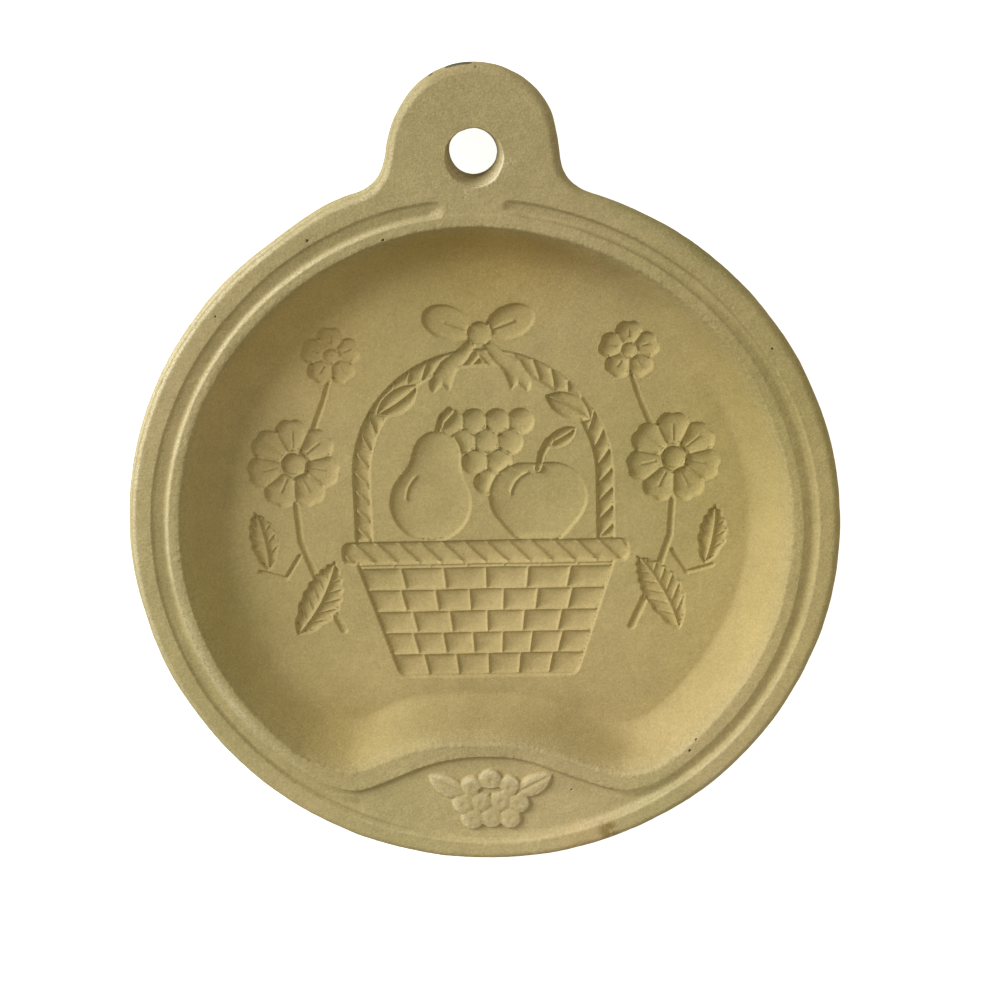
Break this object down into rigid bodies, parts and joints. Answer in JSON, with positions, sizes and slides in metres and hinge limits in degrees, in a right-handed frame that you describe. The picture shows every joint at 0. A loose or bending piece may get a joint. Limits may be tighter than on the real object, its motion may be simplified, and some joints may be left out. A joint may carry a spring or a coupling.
{
  "type": "cookie mould",
  "caption": "Round unglazed stoneware cookie mould with a basket picture sunk in its hollow, a grooved rim and a hanging tab with a hole.",
  "frame": {"origin": "centre of the round plate, on its flat back face", "axes": "+Z out of the front face with the part lying on its back, +Y from the plate's centre towards the hanging tab, +X to the right as the front face is seen"},
  "size_m": [0.132, 0.152, 0.012],
  "materials": {
    "stoneware": "matte unglazed buff stoneware with a fine grain"
  },
  "bodies": {
    "root": {"back_plate": "stoneware", "outer_rim": "stoneware", "inner_lip": "stoneware", "lower_panel": "stoneware", "picture_floor": "stoneware", "hanging_tab": "stoneware", "basket_relief": "stoneware", "handle_relief": "stoneware", "fruit_relief": "stoneware", "blossom_relief": "stoneware", "leaf_relief": "stoneware", "ornament": "stoneware"}
  },
  "joints": []
}
